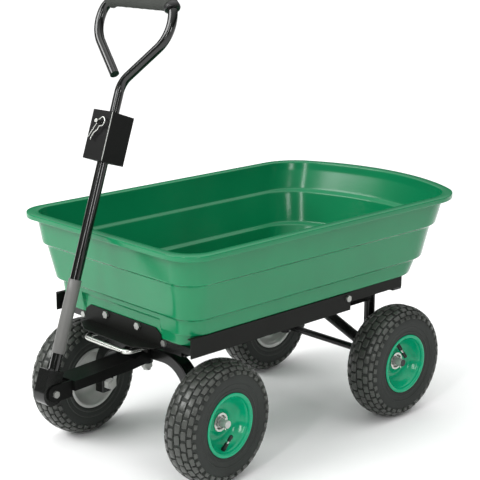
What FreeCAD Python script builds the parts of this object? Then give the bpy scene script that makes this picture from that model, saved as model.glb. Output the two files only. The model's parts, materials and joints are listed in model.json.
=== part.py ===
import FreeCAD, Part
import math
import os
import PartDesign
import Sketcher

V = FreeCAD.Vector
LEFT, RIGHT = -1, 1

# Driving dimensions in millimetres and degrees.  X is the width, the handle
# end faces -Y, the rear +Y, and Z is up from the ground.
DIMS = {
    "origin_shift": 34.86, "wheelbase": 556.0, "axle_height": 130.0,
    "rear_half_track": 211.0, "front_half_track": 201.5, "steer_angle": 4.72,
    "tyre_radius": 130.0, "tyre_width": 83.0, "tyre_opening": 67.0, "tyre_wall": 7.0,
    "flange_radius": 68.4, "flange_offset": 35.8, "well_radius": 52.0, "sheet_metal": 2.5,
    "hub_radius": 15.0, "hub_inboard": 32.0, "hub_outboard": 1.0, "axle_radius": 8.0,
    "running_clearance": 0.06, "axle_end": 28.0,
    "tub_half_width": 278.75, "tub_front": 407.5, "tub_rear": 405.0, "tub_bow": 97.0,
    "tub_top": 510.0, "lip_depth": 11.4, "lip_sheet": 4.0, "tub_wall": 4.0,
    "tub_front_radius": 65.0, "tub_rear_radius": 111.0,
    "rail_outer": 220.0, "rail_top": 328.0, "rail_deep": 40.0, "rail_thin": 23.0,
    "rail_front_end": 348.0, "rail_deep_end": 115.0, "rail_rear_end": 290.0,
    "rail_flange": 10.0, "rail_joint_overlap": 26.0,
    "chassis_half": 135.0, "chassis_width": 25.0, "chassis_top": 288.0,
    "chassis_depth": 26.0, "chassis_front": 300.0, "post_radius": 12.5, "post_top": 270.0,
    "post_foot": 114.0, "pivot_height": 284.0, "pivot_radius": 5.0, "lug_radius": 12.0,
    "lug_thickness": 6.0, "brace_top_forward": 160.0,
    "arch_top": 250.0, "arch_thickness": 25.0, "arch_depth": 33.0, "arch_inner_radius": 60.0,
    "arch_leg_inner": 121.0, "arch_foot": 111.0, "kingpin_radius": 8.0,
    "tongue_half_width": 28.0, "tongue_top": 235.0, "tongue_bottom": 214.5,
    "tongue_start": 17.0, "tongue_end": 225.0, "tongue_flare": 62.0, "tongue_sheet": 4.0,
    "hinge_forward": 268.0, "hinge_height": 218.0, "hinge_radius": 4.0,
    "strap_radius": 17.0, "strap_inner": 15.2, "strap_sheet": 4.0, "strap_root": 190.0,
    "handle_lean": 19.8, "yoke_radius": 25.5, "yoke_half_width": 14.8, "yoke_sheet": 3.5,
    "yoke_top": 44.0, "stem_radius": 11.0, "stem_start": 30.0, "stem_end": 512.0,
    "sleeve_radius": 13.0, "sleeve_start": 78.0, "sleeve_end": 226.0,
    "box_width": 54.0, "box_depth": 60.0, "box_bottom": 462.0, "box_top": 560.0,
    "box_sheet": 2.5, "loop_radius": 9.6, "loop_start": 518.0, "loop_top": 787.0,
    "loop_half_width": 97.0, "loop_bore": 7.6, "grip_radius": 16.0,
    "clip_pin_level": 537.0, "clip_wire": 1.3, "pin_radius": 4.0,
    "latch_half": 69.0, "latch_rod": 4.0, "latch_height": 273.0, "latch_front": 388.0,
    "latch_grip": 5.4, "latch_neck": 353.0, "guide_face": 341.0,
    "spring_outer": 6.6, "spring_inner": 5.0, "collar_radius": 4.8,
    "bracket_face": 342.0, "bracket_sheet": 2.5, "bracket_top": 324.0, "pocket_half": 124.0,
    "pocket_top": 346.0, "pocket_depth": 339.4, "bolt_shank": 4.0, "bolt_across": 13.0,
    "rail_bolt_place": 105.0, "rail_bolt_height": 316.0, "bracket_bolt_height": 315.0,
}

doc = FreeCAD.newDocument("garden_cart")
sheet = doc.addObject("Spreadsheet::Sheet", "Dims")
for row, (alias, value) in enumerate(DIMS.items(), start=1):
    sheet.set("A%d" % row, alias)
    sheet.set("B%d" % row, str(value))
    sheet.setAlias("B%d" % row, alias)
doc.recompute()
PARTS = []


def dim(alias):
    """The value of one spreadsheet cell."""
    return float(sheet.get(alias))


def rotation(axis, degrees):
    return FreeCAD.Rotation(V(*axis), degrees)


# Assembly frames: where each group of parts is modelled.
SHIFT = dim("origin_shift")
KING_Y = -dim("wheelbase") / 2
REAR_Y = dim("wheelbase") / 2
CART = FreeCAD.Placement(V(0, SHIFT, 0), FreeCAD.Rotation())
STEER = FreeCAD.Placement(V(0, SHIFT + KING_Y, 0), rotation((0, 0, 1), dim("steer_angle")))
HINGE = FreeCAD.Placement(V(0, -dim("hinge_forward"), dim("hinge_height")),
                          rotation((1, 0, 0), -dim("handle_lean")))
HANDLE = STEER.multiply(HINGE)


def keep(obj, label, frame=CART):
    """Name a finished sub-part and put it into its assembly frame."""
    obj.Label = label
    obj.Placement = frame.multiply(obj.Placement)
    PARTS.append(obj)
    return obj


def box(name, low, high):
    obj = doc.addObject("Part::Box", name)
    obj.Length, obj.Width, obj.Height = [b - a for a, b in zip(low, high)]
    obj.Placement = FreeCAD.Placement(V(*low), FreeCAD.Rotation())
    return obj


def rod(name, start, end, radius):
    """A cylinder from start to end, its radius a number or a cell alias."""
    obj = doc.addObject("Part::Cylinder", name)
    run = V(*end) - V(*start)
    obj.Height = run.Length
    if isinstance(radius, str):
        obj.setExpression("Radius", "Dims." + radius)
    else:
        obj.Radius = radius
    obj.Placement = FreeCAD.Placement(V(*start), FreeCAD.Rotation(V(0, 0, 1), run))
    return obj


def hexagon(name, start, end, across):
    """A hexagon bolt head or nut."""
    obj = doc.addObject("Part::Prism", name)
    run = V(*end) - V(*start)
    obj.Polygon = 6
    obj.Circumradius = across / math.sqrt(3)
    obj.Height = run.Length
    obj.Placement = FreeCAD.Placement(V(*start), FreeCAD.Rotation(V(0, 0, 1), run))
    return obj


def fuse(name, *shapes):
    obj = doc.addObject("Part::MultiFuse", name)
    obj.Shapes = list(shapes)
    obj.Refine = True
    return obj


def cut(name, base, *tools):
    tool = tools[0] if len(tools) == 1 else fuse(name + "_tools", *tools)
    obj = doc.addObject("Part::Cut", name)
    obj.Base = base
    obj.Tool = tool
    return obj


def group(name, *objects):
    """Separate solids that share one node."""
    obj = doc.addObject("Part::Compound", name)
    obj.Links = list(objects)
    return obj


def feature(name, shape):
    obj = doc.addObject("Part::Feature", name)
    obj.Shape = shape
    return obj


def plane_of(body, role):
    return next(item for item in body.Origin.OriginFeatures if item.Role == role)


def sketch_on(body, role, points, offset=0.0):
    """A closed outline on one of the body's own origin planes."""
    sketch = body.newObject("Sketcher::SketchObject", body.Name + "_outline")
    sketch.AttachmentSupport = [(plane_of(body, role), "")]
    sketch.MapMode = "FlatFace"
    sketch.AttachmentOffset = FreeCAD.Placement(V(0, 0, offset), FreeCAD.Rotation())
    count = len(points)
    corners = [V(p[0], p[1], 0) for p in points]
    for index in range(count):
        sketch.addGeometry(Part.LineSegment(corners[index], corners[(index + 1) % count]))
    for index in range(count):
        sketch.addConstraint(Sketcher.Constraint("Coincident", index, 2, (index + 1) % count, 1))
    return sketch


def padded(name, role, points, length, midplane=False, offset=0.0):
    """A body padded from an outline; length is a number or an expression."""
    body = doc.addObject("PartDesign::Body", name)
    sketch = sketch_on(body, role, points, offset)
    pad = body.newObject("PartDesign::Pad", name + "_pad")
    pad.Profile = sketch
    pad.Midplane = midplane
    if isinstance(length, str):
        pad.setExpression("Length", length)
    else:
        pad.Length = length
    doc.recompute()
    return body


def turned(name, points):
    """A body turned about its local X axis from an outline of (x, radius)."""
    body = doc.addObject("PartDesign::Body", name)
    sketch = sketch_on(body, "XZ_Plane", points)
    turn = body.newObject("PartDesign::Revolution", name + "_turn")
    turn.Profile = sketch
    turn.ReferenceAxis = (sketch, ["H_Axis"])
    turn.Angle = 360
    doc.recompute()
    return body


def rounded_path(points, radii):
    """Straight runs joined by tangent arcs, as one wire."""
    points = [V(*p) for p in points]
    edges, last = [], points[0]
    for index in range(1, len(points) - 1):
        corner = points[index]
        into = (corner - points[index - 1]).normalize()
        away = (points[index + 1] - corner).normalize()
        turn = into.getAngle(away)
        reach = radii[index - 1] * math.tan(turn / 2)
        begin, finish = corner - into * reach, corner + away * reach
        inward = (away - into).normalize()
        depth = radii[index - 1] * (1 / math.cos(turn / 2) - 1)
        edges.append(Part.LineSegment(last, begin).toShape())
        edges.append(Part.Arc(begin, corner + inward * depth, finish).toShape())
        last = finish
    edges.append(Part.LineSegment(last, points[-1]).toShape())
    return Part.Wire(edges)


def swept(path, radius):
    """A round bar along a path."""
    start = path.Edges[0]
    circle = Part.Circle(start.valueAt(start.FirstParameter),
                         start.tangentAt(start.FirstParameter), radius)
    return path.makePipeShell([Part.Wire(circle.toShape())], True, False)


def tub_outline(level, side, front, rear, corner=0.0):
    """The tub's plan outline at one height, drawn in from the rim's outer edge."""
    half = dim("tub_half_width") - side
    bow = dim("tub_bow") * (half / dim("tub_half_width")) ** 2
    back = dim("tub_rear") + dim("tub_bow") - rear - bow
    nose = -dim("tub_front") + front
    front_r = dim("tub_front_radius") - corner
    rear_r = dim("tub_rear_radius") - corner
    big = (half ** 2 + bow ** 2) / (2 * bow)
    centre = back + bow - big
    turn_x = half - rear_r
    turn_y = centre + math.sqrt((big - rear_r) ** 2 - turn_x ** 2)
    reach = big / (big - rear_r)
    join = (turn_x * reach, centre + (turn_y - centre) * reach)
    away = V(join[0] - turn_x + rear_r, join[1] - turn_y, 0).normalize() * rear_r
    diag = front_r * (1 - math.sqrt(0.5))

    def at(x, y):
        return V(x, y, level)
    right = [Part.LineSegment(at(half, nose + front_r), at(half, turn_y)),
             Part.Arc(at(half, turn_y), at(turn_x + away.x, turn_y + away.y), at(*join))]
    rear_arc = Part.Arc(at(*join), at(0, back + bow), at(-join[0], join[1]))
    left = [Part.Arc(at(-join[0], join[1]), at(-turn_x - away.x, turn_y + away.y),
                     at(-half, turn_y)),
            Part.LineSegment(at(-half, turn_y), at(-half, nose + front_r))]
    front_edges = [Part.Arc(at(-half, nose + front_r), at(-half + diag, nose + diag),
                            at(-half + front_r, nose)),
                   Part.LineSegment(at(-half + front_r, nose), at(half - front_r, nose)),
                   Part.Arc(at(half - front_r, nose), at(half - diag, nose + diag),
                            at(half, nose + front_r))]
    edges = right + [rear_arc] + left + front_edges
    return Part.Wire([edge.toShape() for edge in edges])


# Tub wall levels: (height, side inset, front inset, rear inset).  Three tiers
# with ledges between them, and a pan that drops between the bed rails.
TUB_LEVELS = [(305.0, 73, 66, 124), (327.9, 71, 62, 116), (328.2, 61, 61, 104),
              (360.0, 58, 58, 86), (370.0, 47, 46, 70), (438.0, 33, 33, 55),
              (447.0, 25, 25, 40), (492.0, 19, 19, 24), (510.0, 17, 17, 20)]


# The floor's levels, the sunk seats of its bolts (the front pair is nearer the
# middle) and the bolts that hold the bracket to the front wall.
PAN_BOTTOM = TUB_LEVELS[0][0]
FLOOR_TOP = PAN_BOTTOM + dim("tub_wall")
SUNK_RADIUS, SUNK_DEPTH, BRACKET_BOLT_REACH = 8.2, 2.4, 11.5
FRONT_BOLT_Y, REAR_BOLT_Y, BRACKET_BOLT_X = -326.0, 278.0, 51.5
FLOOR_BOLTS = [(side * x, y) for side in (LEFT, RIGHT)
               for x, y in ((100.0, FRONT_BOLT_Y), (170.0, REAR_BOLT_Y))]


def tub_solid(inset, rise, lid):
    """A loft through every level, drawn in by inset and lifted by rise at the floor."""
    wires = []
    for number, (level, side, front, rear) in enumerate(TUB_LEVELS):
        height = level + (rise if number == 0 else 0)
        if number == len(TUB_LEVELS) - 1:
            height = level + lid
        wires.append(tub_outline(height, side + inset, front + inset, rear + inset,
                                 0.35 * side + inset))
    return Part.makeLoft(wires, True, True)


def make_tub():
    top, sheet_t = dim("tub_top"), dim("lip_sheet")
    lip = Part.Face(tub_outline(top - dim("lip_depth"), 0, 0, 0)).extrude(V(0, 0, dim("lip_depth")))
    under = Part.Face(tub_outline(top - dim("lip_depth"), 3, 3, 3, 3))
    lip = lip.cut(under.extrude(V(0, 0, dim("lip_depth") - sheet_t)))
    outer = lip.fuse(tub_solid(0, 0, 0))
    shell = outer.cut(tub_solid(dim("tub_wall"), dim("tub_wall"), 1))
    shell = front_pocket(shell).removeSplitter()
    for x, y in FLOOR_BOLTS:
        shell = shell.cut(Part.makeCylinder(dim("bolt_shank"), 20, V(x, y, PAN_BOTTOM - 5)))
        shell = shell.cut(Part.makeCylinder(SUNK_RADIUS, 10, V(x, y, FLOOR_TOP - SUNK_DEPTH)))
    for side in (LEFT, RIGHT):
        mouth = V(side * BRACKET_BOLT_X, -dim("bracket_face"), dim("bracket_bolt_height"))
        shell = shell.cut(Part.makeCylinder(dim("bolt_shank"), BRACKET_BOLT_REACH, mouth, V(0, 1, 0)))
    keep(feature("tub_shape", shell), "tub")


def front_pocket(shell):
    """The recess for the front bracket, the wall behind it and the boss for its bolts."""
    half, top, face = dim("pocket_half"), dim("pocket_top"), -dim("pocket_depth")
    wall, low, boss_half, boss_top = dim("tub_wall"), PAN_BOTTOM, BRACKET_BOLT_X + 14.5, 328.0
    back = Part.makeBox(2 * (half + wall), wall + 3, top + wall - low, V(-half - wall, face - 3, low))
    boss = Part.makeBox(2 * boss_half, 9, boss_top - low, V(-boss_half, face + wall - 0.6, low))
    hollow = Part.makeBox(2 * half, 30, top - low + 10, V(-half, face - 30, low - 10))
    return shell.fuse(back).fuse(boss).cut(hollow)


def make_bed_rails():
    outer, top, flange = dim("rail_outer"), dim("rail_top"), dim("rail_flange")
    deep, thin, gauge = dim("rail_deep"), dim("rail_thin"), dim("sheet_metal")
    bolt_y, bolt_z = dim("rail_bolt_place"), dim("rail_bolt_height")
    for side, word in ((LEFT, "left"), (RIGHT, "right")):
        front = [(side * (outer - flange), top - 0.1), (side * outer, top - 0.1),
                 (side * outer, top - deep), (side * (outer - gauge), top - deep),
                 (side * (outer - gauge), top - gauge), (side * (outer - flange), top - gauge)]
        rail = padded("bed_rail_front_" + word + "_b", "XZ_Plane", front,
                      "Dims.rail_front_end + Dims.rail_deep_end", offset=-dim("rail_deep_end"))
        hole = rod("front_rail_hole_" + word, (side * (outer - 20), bolt_y, bolt_z),
                   (side * (outer + 5), bolt_y, bolt_z), "bolt_shank")
        keep(cut("front_rail_cut_" + word, rail, hole), "bed_rail_front_" + word)
        inner = outer - gauge
        low = top - thin
        web = box("rear_web_" + word, (min(side * inner, side * (inner - gauge)),
                                       dim("rail_deep_end") - dim("rail_joint_overlap"), low),
                  (max(side * inner, side * (inner - gauge)), dim("rail_rear_end"), top - gauge))
        lip = box("rear_lip_" + word, (min(side * inner, side * (outer - flange)),
                                       dim("rail_deep_end") + 0.5, top - gauge - 0.1),
                  (max(side * inner, side * (outer - flange)), dim("rail_rear_end"), top - 0.1))
        hole = rod("rear_rail_hole_" + word, (side * (outer - 20), bolt_y, bolt_z),
                   (side * (outer + 5), bolt_y, bolt_z), "bolt_shank")
        keep(cut("rear_rail_cut_" + word, fuse("rear_rail_" + word, web, lip), hole),
             "bed_rail_rear_" + word)


# The bolts at the ends of the front bar: distance from the middle, and height.
BAR_BOLT = (130.5, 297.5)
PIVOT_BAR_LOW = 299.0


# Head height, nut height and full tail beyond the grip, in shank radii.
HEAD_RATIO, NUT_RATIO, TAIL_RATIO = 1.3, 1.6, 1.9


def bolt(name, start, direction, grip, shank, across, nut=True, flush=None):
    """A bolt through grip millimetres; flush gives a round sunk head (radius, height)."""
    start, direction = V(*start), V(*direction)
    if flush:
        head = rod(name + "_head", start - direction * flush[1], start, flush[0])
    else:
        head = hexagon(name + "_head", start - direction * shank * HEAD_RATIO, start, across)
    tail = grip + (shank * TAIL_RATIO if nut else 0)
    pieces = [head, rod(name + "_shank", start - direction * 0.5, start + direction * tail, shank)]
    if nut:
        pieces.append(hexagon(name + "_nut", start + direction * grip,
                              start + direction * (grip + shank * NUT_RATIO), across))
    return fuse(name, *pieces)


def floor_holes(word, place):
    """Tools that drill the floor bolts' holes in one cross bar."""
    return [rod("floor_hole_%s_%d" % (word, number), (x, y, 280), (x, y, 320), "bolt_shank")
            for number, (x, y) in enumerate(FLOOR_BOLTS) if y == place]


def make_tub_frame(guides):
    outer, gauge = dim("rail_outer"), dim("sheet_metal")
    shank, across = dim("bolt_shank"), dim("bolt_across")
    keep(group("rail_joint_group", *[
        bolt("rail_joint_" + word, (side * outer, dim("rail_bolt_place"), dim("rail_bolt_height")),
             (-side, 0, 0), 2 * gauge, shank, across)
        for side, word in ((LEFT, "left"), (RIGHT, "right"))]), "rail_joint_bolts")
    bar_front, bar_back, bar_low, bar_high = -339.3, -318.0, 290.0, PAN_BOTTOM - 0.1
    bar = box("bed_front_box", (-outer + gauge + 0.1, bar_front, bar_low),
              (outer - gauge - 0.1, bar_back, bar_high))
    bar_holes = [rod("bar_hole_%d" % side, (side * BAR_BOLT[0], bar_front - 1, BAR_BOLT[1]),
                     (side * BAR_BOLT[0], bar_back + 1, BAR_BOLT[1]), "bolt_shank")
                 for side in (LEFT, RIGHT)]
    keep(cut("bed_front_cut", bar, *floor_holes("front", FRONT_BOLT_Y), *bar_holes), "bed_front_bar")
    face, top, sheet_t = dim("bracket_face"), dim("bracket_top"), dim("bracket_sheet")
    right_edge = [(106, top), (122, top - 11), (122, 288)]
    plate = padded("bracket_plate", "XZ_Plane", right_edge + [(-x, z) for x, z in reversed(right_edge)],
                   "Dims.bracket_sheet", offset=face - sheet_t)
    right_edge = [(119, sheet_t + 1.6 - face), (119, -358), (74, -384)]
    shelf = padded("bracket_shelf", "XY_Plane", right_edge + [(-x, y) for x, y in reversed(right_edge)],
                   "Dims.bracket_sheet", offset=285.5)
    level = dim("bracket_bolt_height")
    holes = [rod("bracket_hole_%d" % side, (side * BRACKET_BOLT_X, -face - 5, level),
                 (side * BRACKET_BOLT_X, -face + 10, level), "bolt_shank") for side in (LEFT, RIGHT)]
    keep(cut("bracket_cut", fuse("bracket_fuse", plate, shelf, *guides), *holes), "tub_front_bracket")
    bolts = []
    for side, word in ((LEFT, "left"), (RIGHT, "right")):
        bolts.append(bolt("bracket_bolt_" + word, (side * BRACKET_BOLT_X, -face, level), (0, 1, 0),
                          BRACKET_BOLT_REACH - 0.5, shank, across + 1, nut=False))
        bolts.append(bolt("bar_bolt_" + word, (side * BAR_BOLT[0], bar_front, BAR_BOLT[1]), (0, 1, 0),
                          bar_back - bar_front, shank, across - 1))
    for number, (x, y) in enumerate(FLOOR_BOLTS):
        seat = FLOOR_TOP - SUNK_DEPTH
        under = bar_low if y < 0 else PIVOT_BAR_LOW
        bolts.append(bolt("floor_bolt_%d" % number, (x, y, seat), (0, 0, -1), seat - under, shank, across,
                          flush=(SUNK_RADIUS - 0.2, SUNK_DEPTH - 0.2)))
    keep(group("tub_bolt_group", *bolts), "tub_bolts")


def make_pivot_bar():
    """The cross bar under the rear of the tub, with two cheeks beside each post lug."""
    pivot, lug = dim("pivot_height"), dim("lug_radius")
    outer, gauge = dim("rail_outer"), dim("sheet_metal")
    pieces = [box("pivot_bar_flat", (-outer + 2 * gauge + 0.1, REAR_Y - 14, PIVOT_BAR_LOW),
                  (outer - 2 * gauge - 0.1, REAR_Y + 14, PAN_BOTTOM - 0.1))]
    holes = floor_holes("rear", REAR_BOLT_Y)
    for side, word in ((LEFT, "left"), (RIGHT, "right")):
        middle = side * dim("chassis_half")
        for number, offset in enumerate((-8.5, 4.5)):
            name = "cheek_%s_%d" % (word, number)
            near = middle + offset
            pieces.append(box(name + "_neck", (near, REAR_Y - 10, pivot), (near + 4, REAR_Y + 10, 299.5)))
            pieces.append(rod(name + "_eye", (near, REAR_Y, pivot), (near + 4, REAR_Y, pivot), 10.0))
        holes.append(rod("pivot_bar_hole_" + word, (middle - 12, REAR_Y, pivot),
                         (middle + 12, REAR_Y, pivot), dim("pivot_radius") + dim("running_clearance")))
    keep(cut("pivot_bar_cut", fuse("pivot_bar_fuse", *pieces), *holes), "rear_pivot_bar")
    bolts = [bolt("pivot_bolt_" + word, (side * (dim("chassis_half") + 9.0), REAR_Y, pivot),
                  (-side, 0, 0), 18.0, dim("pivot_radius"), 16)
             for side, word in ((LEFT, "left"), (RIGHT, "right"))]
    keep(group("pivot_bolt_group", *bolts), "tip_pivot_bolts")


def make_chassis():
    half, width, top = dim("chassis_half"), dim("chassis_width"), dim("chassis_top")
    low, front = top - dim("chassis_depth"), dim("chassis_front")
    post_r, pivot, lug_r = dim("post_radius"), dim("pivot_height"), dim("lug_radius")
    back = REAR_Y - post_r
    for side, word in ((LEFT, "left"), (RIGHT, "right")):
        middle = side * half
        ring = [(middle - width / 2, low), (middle + width / 2, low),
                (middle + width / 2, top), (middle - width / 2, top)]
        rail = padded("chassis_rail_%s_b" % word, "XZ_Plane", ring, front + back, offset=-back)
        bore = box("chassis_bore_" + word, (middle - width / 2 + 2, -front - 1, low + 2),
                   (middle + width / 2 - 2, back + 1, top - 2))
        keep(cut("chassis_rail_cut_" + word, rail, bore), "chassis_rail_" + word)
        thick = dim("lug_thickness") / 2
        post = fuse("post_" + word,
                    rod("post_tube_" + word, (middle, REAR_Y, dim("post_foot")),
                        (middle, REAR_Y, dim("post_top")), "post_radius"),
                    box("post_neck_" + word, (middle - thick, REAR_Y - lug_r, dim("post_top") - 6),
                        (middle + thick, REAR_Y + lug_r, pivot)),
                    rod("post_eye_" + word, (middle - thick, REAR_Y, pivot),
                        (middle + thick, REAR_Y, pivot), "lug_radius"))
        holes = [rod("post_axle_hole_" + word, (middle - 20, REAR_Y, dim("axle_height")),
                     (middle + 20, REAR_Y, dim("axle_height")), "axle_radius"),
                 rod("post_pivot_hole_" + word, (middle - 20, REAR_Y, pivot),
                     (middle + 20, REAR_Y, pivot), dim("pivot_radius") + dim("running_clearance"))]
        keep(cut("post_cut_" + word, post, *holes), "rear_post_" + word)
        brace = rod("brace_tube_" + word, (middle, REAR_Y, dim("axle_height") + 12),
                    (middle, REAR_Y - dim("brace_top_forward"), low + 6), "post_radius")
        trims = [rod("brace_trim_" + word, (middle, REAR_Y, 80), (middle, REAR_Y, 300), "post_radius"),
                 box("brace_top_trim_" + word, (middle - 30, 0, low), (middle + 30, 300, low + 40))]
        keep(cut("brace_cut_" + word, brace, *trims), "rear_brace_" + word)
    keep(box("cross_rear_box", (-half + width / 2, 140, low), (half - width / 2, 165, top)),
         "chassis_cross_member")
    boss = rod("bolster_boss", (0, KING_Y, 254), (0, KING_Y, top), 14.0)
    beam = box("bolster_beam", (-half + width / 2, KING_Y - 16, low), (half - width / 2, KING_Y + 16, top))
    bore = rod("bolster_bore", (0, KING_Y, 240), (0, KING_Y, top + 10), "kingpin_radius")
    keep(cut("bolster_cut", fuse("bolster_fuse", boss, beam), bore), "chassis_bolster")
    king = fuse("kingpin_fuse", hexagon("kingpin_head", (0, KING_Y, top), (0, KING_Y, top + 9), 24),
                rod("kingpin_shank", (0, KING_Y, 192), (0, KING_Y, top + 1), "kingpin_radius"),
                hexagon("kingpin_nut", (0, KING_Y, 197), (0, KING_Y, 207), 20))
    keep(king, "kingpin_bolt")
    plate = box("keeper_box", (-half - 5, -front - 4, 262), (half + 5, -front - 0.2, top))
    holes = [rod("keeper_hole_%d" % side, (side * dim("latch_half"), -front - 10, dim("latch_height")),
                 (side * dim("latch_half"), -front + 5, dim("latch_height")), dim("latch_rod") + 0.8)
             for side in (LEFT, RIGHT)]
    keep(cut("keeper_cut", plate, *holes), "latch_keeper")


def make_rear_axle():
    end = dim("rear_half_track") + dim("hub_outboard") + dim("axle_end")
    level = dim("axle_height")
    bar = rod("rear_axle_rod", (-end, REAR_Y, level), (end, REAR_Y, level), "axle_radius")
    cotter_holes = [rod("rear_pin_hole_%d" % side, (side * (end - 8), REAR_Y, level - 12),
                        (side * (end - 8), REAR_Y, level + 12), 1.7) for side in (LEFT, RIGHT)]
    keep(cut("rear_axle_cut", bar, *cotter_holes), "rear_axle")
    pieces = []
    for side, word in ((LEFT, "rear_left"), (RIGHT, "rear_right")):
        pieces += axle_fasteners(word, side, dim("rear_half_track"), REAR_Y,
                                 dim("chassis_half") + dim("post_radius") + 0.1)
    keep(group("rear_fastener_group", *pieces), "rear_axle_fasteners")


def axle_fasteners(word, side, half_track, place, stop):
    """The spacer inside a wheel, the washer outside it and its cotter pin."""
    level, shaft = dim("axle_height"), dim("axle_radius")

    def ring(name, near, far, radius):
        return cut(name, rod(name + "_o", (side * near, place, level), (side * far, place, level), radius),
                   rod(name + "_i", (side * (near - 1), place, level), (side * (far + 1), place, level),
                       shaft))
    hub_in = half_track - dim("hub_inboard") - 0.4
    hub_out = half_track + dim("hub_outboard") + 0.4
    end = half_track + dim("hub_outboard") + dim("axle_end")
    pin = rod("cotter_" + word, (side * (end - 8), place, level - 13),
              (side * (end - 8), place, level + 13), 1.7)
    return [ring("spacer_" + word, stop, hub_in, 12.0),
            ring("washer_" + word, hub_out, hub_out + dim("sheet_metal"), 14.0), pin]


def make_axle_arch():
    """A rectangular tube bent over the front axle, with both legs and the kingpin bore."""
    inner, outer_x = dim("arch_leg_inner"), dim("arch_leg_inner") + dim("arch_thickness")
    top, foot, radius = dim("arch_top"), dim("arch_foot"), dim("arch_inner_radius")
    depth, thick = dim("arch_depth"), dim("arch_thickness")

    def profile(inset):
        """The arch's front outline, drawn in by the tube wall."""
        out_x, in_x = outer_x - inset, inner + inset
        out_r, in_r = radius + thick - inset, radius + inset
        high, low = top - inset, top - thick + inset
        outline = [(out_x, foot), (out_x, high - out_r), (out_x - out_r, high)]
        inward = [(in_x - in_r, low), (in_x, low - in_r), (in_x, foot)]

        def arc(a, b, centre, size):
            mid = (V(a[0], 0, a[1]) + V(b[0], 0, b[1])) * 0.5 - V(centre[0], 0, centre[1])
            middle = V(centre[0], 0, centre[1]) + mid.normalize() * size
            return Part.Arc(V(a[0], 0, a[1]), middle, V(b[0], 0, b[1])).toShape()

        def line(a, b):
            return Part.LineSegment(V(a[0], 0, a[1]), V(b[0], 0, b[1])).toShape()

        def flip(p):
            return (-p[0], p[1])
        o1, o2, o3 = outline
        i1, i2, i3 = inward
        oc, ic = (out_x - out_r, high - out_r), (in_x - in_r, low - in_r)
        edges = [line(o1, o2), arc(o2, o3, oc, out_r), line(o3, flip(o3)),
                 arc(flip(o3), flip(o2), flip(oc), out_r), line(flip(o2), flip(o1)),
                 line(flip(o1), flip(i3)), line(flip(i3), flip(i2)),
                 arc(flip(i2), flip(i1), flip(ic), in_r), line(flip(i1), i1),
                 arc(i1, i2, ic, in_r), line(i2, i3), line(i3, o1)]
        return Part.Face(Part.Wire(edges))
    solid = profile(0).extrude(V(0, depth, 0))
    solid.translate(V(0, -depth / 2, 0))
    solid = solid.makeFillet(3.0, [edge for edge in solid.Edges if is_long_edge(edge, depth)])
    sleeve = Part.makeCylinder(13, top + 3.5 - 209, V(0, 0, 209))
    solid = solid.fuse(sleeve)
    bore = dim("kingpin_radius") + dim("running_clearance")
    solid = solid.cut(Part.makeCylinder(bore, 80, V(0, 0, 200)))
    for side in (LEFT, RIGHT):
        solid = solid.cut(Part.makeCylinder(dim("axle_radius"), 60, V(side * 120, 0, dim("axle_height")),
                                            V(side, 0, 0)))
    keep(feature("arch_shape", solid), "axle_arch", STEER)


def is_long_edge(edge, depth):
    """Edges that run along the arch, on its front and rear faces."""
    ends = [vertex.Point for vertex in edge.Vertexes]
    flat = all(abs(abs(p.y) - depth / 2) < 0.01 for p in ends) and abs(ends[0].y - ends[1].y) < 0.01
    return flat and max(p.z for p in ends) > dim("arch_foot") + 1


def make_front_axles():
    end = dim("front_half_track") + dim("hub_outboard") + dim("axle_end")
    level = dim("axle_height")
    pieces = []
    for side, word in ((LEFT, "left"), (RIGHT, "right")):
        inner_end = dim("arch_leg_inner") - 14
        stub = fuse("stub_fuse_" + word,
                    rod("stub_rod_" + word, (side * inner_end, 0, level), (side * end, 0, level),
                        "axle_radius"),
                    hexagon("stub_nut_" + word, (side * (inner_end + 2), 0, level),
                            (side * (dim("arch_leg_inner") - 0.1), 0, level), 24))
        hole = rod("front_pin_hole_" + word, (side * (end - 8), 0, level - 12),
                   (side * (end - 8), 0, level + 12), 1.7)
        keep(cut("stub_cut_" + word, stub, hole), "stub_axle_" + word, STEER)
        stop = dim("arch_leg_inner") + dim("arch_thickness") + 0.1
        pieces += axle_fasteners("front_" + word, side, dim("front_half_track"), 0, stop)
    keep(group("front_fastener_group", *pieces), "front_axle_fasteners", STEER)


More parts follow.
